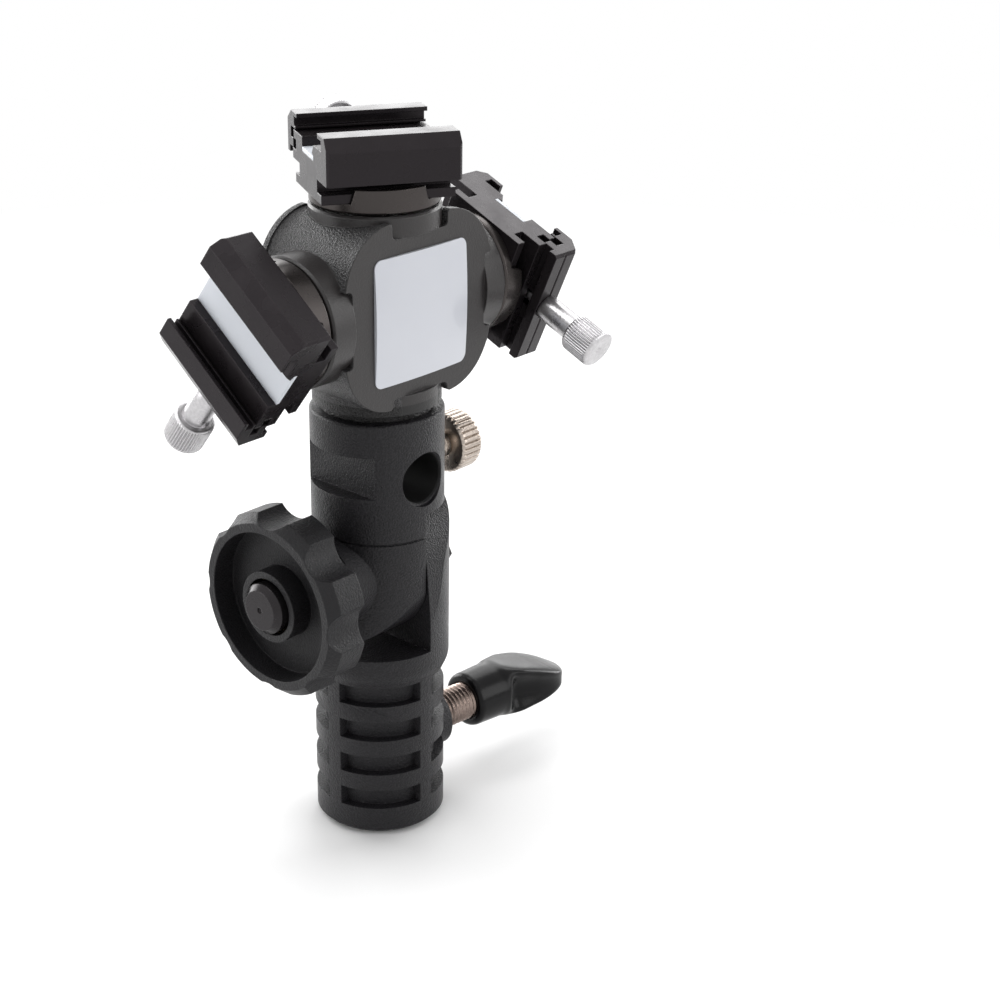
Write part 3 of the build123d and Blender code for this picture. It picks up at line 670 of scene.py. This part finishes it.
def thread_rows(start, end, pitch, radius, depth, rows_per_turn=12):
    """Grid of a screw thread: the crest climbs one pitch in each turn.

    Radius falls from the crest by depth times twice the distance, in turns, between the
    point's height and the nearest crest line. It fades out near both ends.
    """
    rows = int(round((end - start) / pitch * rows_per_turn)) + 1
    along = np.linspace(start, end, rows)[:, None]
    angle = np.linspace(0.0, 2.0 * np.pi, THREAD_COLUMNS, endpoint=False)[None, :]
    phase = (along / pitch - angle / (2.0 * np.pi)) % 1.0
    fall = 1.0 - np.abs(2.0 * phase - 1.0)
    fade = np.clip(np.minimum(along - start, end - along) / (0.6 * pitch), 0.0, 1.0)
    radius_here = radius - depth * fall * fade - depth * (1.0 - fade)
    flat = np.repeat(along, THREAD_COLUMNS, 1)
    return np.stack([flat, radius_here * np.cos(angle), radius_here * np.sin(angle)], -1)


def threaded_rod(tip, thread, root):
    """Grid of a rod in metres, from a plain tip, a thread and a plain root in millimetres."""
    ridge = thread_rows(*(number * MM for number in thread))
    return np.concatenate([plain_grid(tip, THREAD_COLUMNS) * MM, ridge,
                           plain_grid(root, THREAD_COLUMNS) * MM])


print("threads have", THREAD_COLUMNS, "columns")

# %% [markdown]
# The stem of the umbrella's thumbscrew carries a fine thread of 0.8 mm. Its last
# millimetres are plain and stand inside the head.

# %% The umbrella's thumbscrew: its stem
stem = threaded_rod([(5.4, 0.4), (5.4, 1.7), (5.7, 2.05)], (5.9, 18.0, 0.8, 2.5, 0.42),
                    [(18.2, 2.45), (22.15, 2.45), (22.18, 0.4)])
stem = lay_on_axis(stem, STEM_START, STEM_WAY, STEM_SIDE)
add_piece("umbrella_stem_thread", stem, 50.0, NICKEL, "rod_screw_stem",
          ("umbrella_stem",))

# %% [markdown]
# The clamp's stud shows eight millimetres of thread between the socket and the handle.
# The same thread surface serves. The stud heads six degrees towards the front.

# %% The clamp's stud
CLAMP_START = (0, 0, 15.0 * MM)
CLAMP_TURN = math.radians(-6.0)
CLAMP_WAY = (math.cos(CLAMP_TURN), math.sin(CLAMP_TURN), 0)
stud = threaded_rod([(8.5, 0.6), (8.5, 3.0), (9.0, 3.4)], (9.2, 29.9, 1.0, 4.0, 0.5),
                    [(30.1, 3.4), (30.28, 3.2), (30.28, 0.6)])
stud = lay_on_axis(stud, CLAMP_START, CLAMP_WAY, (0, 0, 1))
add_piece("clamp_thread", stud, 50.0, COPPERY, "clamp_stem", ("clamp_stud",))

# %% [markdown]
# The handle is moulded in one piece, and nothing on it is sharp: a round hub runs into a
# blade that thins towards its tip, and a thumb's hollow is pressed into each side. A
# stack of sections suits it. Each section is a superellipse, whose power grows from two,
# a circle, to a rounded rectangle, and the hollow pulls the sides in at half height.

# %% The clamp's handle: its measures
HANDLE_FRONT, RIM_END, SOCKET_BACK, BLADE_TIP = 22.8, 24.0, 30.3, 50.0
WIDEST_AT = 40.5
BLADE_EDGES = np.array([  # distance along, top and low edge, in mm from the axis
    (RIM_END, 5.84, -5.84), (29.0, 6.0, -6.0), (32.0, 5.95, -6.0), (34.3, 5.35, -5.75),
    (37.0, 4.62, -5.3), (39.8, 3.8, -4.8), (42.5, 2.9, -4.3), (45.0, 1.95, -3.78),
    (47.5, 0.9, -3.2), (BLADE_TIP, -0.3, -2.6)])
BLADE_SIDES = np.array([(RIM_END, 5.84), (32.0, 6.15), (36.0, 6.7), (WIDEST_AT, 7.15)])
TIP_CURVE = 2.4  # how late the blade's sides turn in towards its tip
TIP_CLOSES = 0.999  # leaves the tip a sliver of width
SQUARE_FROM, SQUARE_OVER = 30.0, 7.0  # where round sections turn into square ones
HOLLOW_FROM, HOLLOW_OVER, HOLLOW_DEPTH = 31.2, 3.2, 3.2
HOLLOW_FADE = np.array([(35.0, 1.0), (47.0, 0.1)])
HOLLOW_MOST = 0.6  # of the half width
HANDLE_ROLL = math.radians(1.0)


def ease_in(x, start, length):
    """0 before start, 1 beyond start plus length, with a soft climb between."""
    share = np.clip((x - start) / length, 0.0, 1.0)
    return share**2 * (3.0 - 2.0 * share)


def softened(line):
    """A line of numbers averaged over its near neighbours, weighted by a bell curve."""
    bell = np.exp(-0.5 * (np.arange(-3, 4) / 1.4) ** 2)
    return np.convolve(np.pad(line, 3, mode="edge"), bell / bell.sum(), "valid")


def signed_power(value, power):
    """The power of a number's size, with the number's sign."""
    return np.sign(value) * np.abs(value) ** power


print("handle", round(BLADE_TIP - HANDLE_FRONT, 1), "mm long")

# %% [markdown]
# The sections stand closer together towards the tip, where the outline turns fastest.
# The hub's rim and the socket for the stud are a plain turned profile, which runs out of
# the socket, round the rim and straight into the first section.


# %% The clamp's handle: its surface
def blade_sections(columns):
    """Sections of the blade, from the hub's rim to the tip.

    A section's point at angle t is (w |cos t|^(2/n), m + h |sin t|^(2/n)) with the signs
    of cos t and sin t. The hollow takes d (1 - s^2) off the side, where s is the point's
    height over h. Half width w, middle m, half height h, power n and depth d vary along x.
    """
    fine_from = 44.0
    to_tip = np.sin(np.linspace(0.03, 1.0, 26) * np.pi / 2)
    x = np.concatenate([np.linspace(RIM_END, fine_from, 61),
                        fine_from + (BLADE_TIP - fine_from) * to_tip])
    top = softened(np.interp(x, BLADE_EDGES[:, 0], BLADE_EDGES[:, 1]))
    low = softened(np.interp(x, BLADE_EDGES[:, 0], BLADE_EDGES[:, 2]))
    to_end = np.clip((x - WIDEST_AT) / (BLADE_TIP - WIDEST_AT), 0.0, 1.0)
    wide = np.interp(x, BLADE_SIDES[:, 0], BLADE_SIDES[:, 1])
    wide = wide * np.sqrt(1.0 - TIP_CLOSES * to_end**TIP_CURVE)
    power = 2.0 + 3.0 * ease_in(x, SQUARE_FROM, SQUARE_OVER)
    depth = HOLLOW_DEPTH * ease_in(x, HOLLOW_FROM, HOLLOW_OVER)
    depth = depth * np.interp(x, HOLLOW_FADE[:, 0], HOLLOW_FADE[:, 1])
    depth = np.minimum(depth, HOLLOW_MOST * wide)
    angle = np.linspace(0.0, 2.0 * np.pi, columns, endpoint=False)[None, :]
    side = signed_power(np.cos(angle), (2.0 / power)[:, None])
    rise = signed_power(np.sin(angle), (2.0 / power)[:, None])
    across = side * (wide[:, None] - depth[:, None] * (1.0 - rise**2))
    height = (top + low)[:, None] / 2 + (top - low)[:, None] / 2 * rise
    return np.stack([np.repeat(x[:, None], columns, 1), across, height], -1)


def handle_grid(columns=96):
    """Grid of the handle: the stud's socket, the hub's rim and the blade's sections."""
    rim_round = RIM_END - HANDLE_FRONT
    quarter = np.linspace(0.0, np.pi / 2, 8)[:-1]
    socket = [(SOCKET_BACK, 0.2), (SOCKET_BACK, 4.03), (HANDLE_FRONT + 0.15, 4.03),
              (HANDLE_FRONT, 4.2)]
    rim = [(HANDLE_FRONT + rim_round * (1 - math.cos(part)), 4.62 + rim_round * math.sin(part))
           for part in quarter]
    return np.concatenate([plain_grid(socket + rim, columns), blade_sections(columns)]) * MM


flat_way = (-math.sin(CLAMP_TURN), math.cos(CLAMP_TURN))
handle_side = (flat_way[0] * math.cos(HANDLE_ROLL), flat_way[1] * math.cos(HANDLE_ROLL),
               math.sin(HANDLE_ROLL))
handle = lay_on_axis(handle_grid(), CLAMP_START, CLAMP_WAY, handle_side)
add_piece("clamp_handle", handle, 50.0, HANDLE_PLASTIC, "clamp_handle",
          ("clamp_wing",))

# %% [markdown]
# The studio is a pale floor and a white world. Both have to look white behind the
# bracket without lighting it as strongly as a white room would, or black paint would turn
# grey. A Light Path node tells the rays apart: those that the camera sees, directly, in a
# mirror or through glass, and those that only carry light.


# %% Which rays see white
def white_where_seen(nodes, links):
    """1 for camera, glossy and transmission rays, else 0, from a Light Path node."""
    paths = nodes.new("ShaderNodeLightPath")
    seen = paths.outputs["Is Camera Ray"]
    for name in ("Is Glossy Ray", "Is Transmission Ray"):
        either = nodes.new("ShaderNodeMath")
        either.operation = "MAXIMUM"
        links.new(seen, either.inputs[0])
        links.new(paths.outputs[name], either.inputs[1])
        seen = either.outputs[0]
    return seen


print("seen rays can be told apart")

# %% [markdown]
# The floor is plain near the bracket, where it shows the shadow, and fades to pure white
# further off, so its edge never shows. The fade is a mix of the floor's own shader with
# an Emission of strength 1, which is exactly white.

# %% The floor
FLOOR_HALF = 1.5
FLOOR_HEIGHT = -0.6 * MM
PLAIN_WITHIN, WHITE_BEYOND = 0.12, 0.5

corners = [(x * FLOOR_HALF, y * FLOOR_HALF, FLOOR_HEIGHT)
           for x, y in ((-1, -1), (1, -1), (1, 1), (-1, 1))]
floor_mesh = bpy.data.meshes.new("floor")
floor_mesh.from_pydata(corners, [], [(0, 1, 2, 3)])
floor = bpy.data.objects.new("floor", floor_mesh)
scene.collection.objects.link(floor)
floor_finish, floor_shader = new_finish("pale_floor", (0.86, 0.86, 0.86), 0.7)
floor_mesh.materials.append(floor_finish)

tree = floor_finish.node_tree
from_middle = axis_distance(floor_finish, (1.0, 1.0, 1.0), (0.0, 0.0, 0.0))
far_away = remap(floor_finish, from_middle, PLAIN_WITHIN, WHITE_BEYOND, 0.0, 1.0)
far_white = joined(floor_finish, "MULTIPLY", far_away, white_where_seen(tree.nodes, tree.links))
plain_white = add_node(floor_finish, "ShaderNodeEmission", Strength=1.0)
fading = tree.nodes.new("ShaderNodeMixShader")
wire(floor_finish, far_white, fading.inputs[0])
wire(floor_finish, floor_shader.outputs[0], fading.inputs[1])
wire(floor_finish, plain_white.outputs[0], fading.inputs[2])
wire(floor_finish, fading.outputs[0], tree.nodes["Material Output"].inputs["Surface"])
print("floor fades to white from", PLAIN_WITHIN, "m to", WHITE_BEYOND, "m")

# %% [markdown]
# The world is a white background of strength 1 for the rays that are seen, and about half
# as strong for the light that falls on the bracket.

# %% The world
LIGHT_FROM_WORLD, WHITE = 0.45, 1.0

world = bpy.data.worlds.new("white_studio")
scene.world = world
world.use_nodes = True
links, nodes = world.node_tree.links, world.node_tree.nodes
sky = nodes["Background"]
level = nodes.new("ShaderNodeMapRange")
level.inputs["To Min"].default_value = LIGHT_FROM_WORLD
level.inputs["To Max"].default_value = WHITE
links.new(white_where_seen(nodes, links), level.inputs["Value"])
links.new(level.outputs["Result"], sky.inputs["Strength"])
sky.inputs["Color"].default_value = (WHITE, WHITE, WHITE, 1.0)
print("world lights at", LIGHT_FROM_WORLD, "and is seen at", WHITE)

# %% [markdown]
# Seven soft lamps stand round the bracket: one in front, one above, one on the left, and
# four behind. Black paint shows its shape mostly by what it mirrors, so the four behind
# stand where the edges of each cylinder and the faces seen at a shallow angle mirror
# them. They draw the bright rims.


# %% The lamps
MIDDLE = Vector((0.0, 0.0, 75.0 * MM))


def soft_lamp(name, place, width, height, level):
    """An area lamp at place, facing the bracket's middle, out of the camera's sight.

    Lengths are metres. Level is its brightness as seen, where 1 is white, so its power is
    level times pi times its area.
    """
    data = bpy.data.lights.new(name, "AREA")
    data.shape = "RECTANGLE"
    data.size = width
    data.size_y = height
    data.energy = level * math.pi * width * height
    lamp = bpy.data.objects.new(name, data)
    lamp.visible_camera = False
    lamp.location = place
    lamp.rotation_euler = (MIDDLE - Vector(place)).to_track_quat("-Z", "Y").to_euler()
    scene.collection.objects.link(lamp)


LAMPS = (  # name, place, width, height, level
    ("front_softbox", (0.35, -0.85, 0.4), 0.6, 0.6, 2.5),
    ("top_softbox", (-0.15, 0.15, 0.9), 0.6, 0.6, 3.5),
    ("left_softbox", (-0.84, 0.5, 0.28), 0.5, 0.55, 3.5),
    ("back_softbox", (0.66, 0.62, 0.35), 0.5, 0.6, 2.2),
    ("back_left_softbox", (0.05, 0.9, 0.24), 0.6, 0.48, 5.8),
    ("back_right_softbox", (0.86, -0.1, 0.3), 0.5, 0.6, 5.2),
    ("high_softbox", (0.6, 0.28, 0.72), 0.45, 0.4, 3.5),
)
for lamp in LAMPS:
    soft_lamp(*lamp)
print(len(LAMPS), "soft lamps")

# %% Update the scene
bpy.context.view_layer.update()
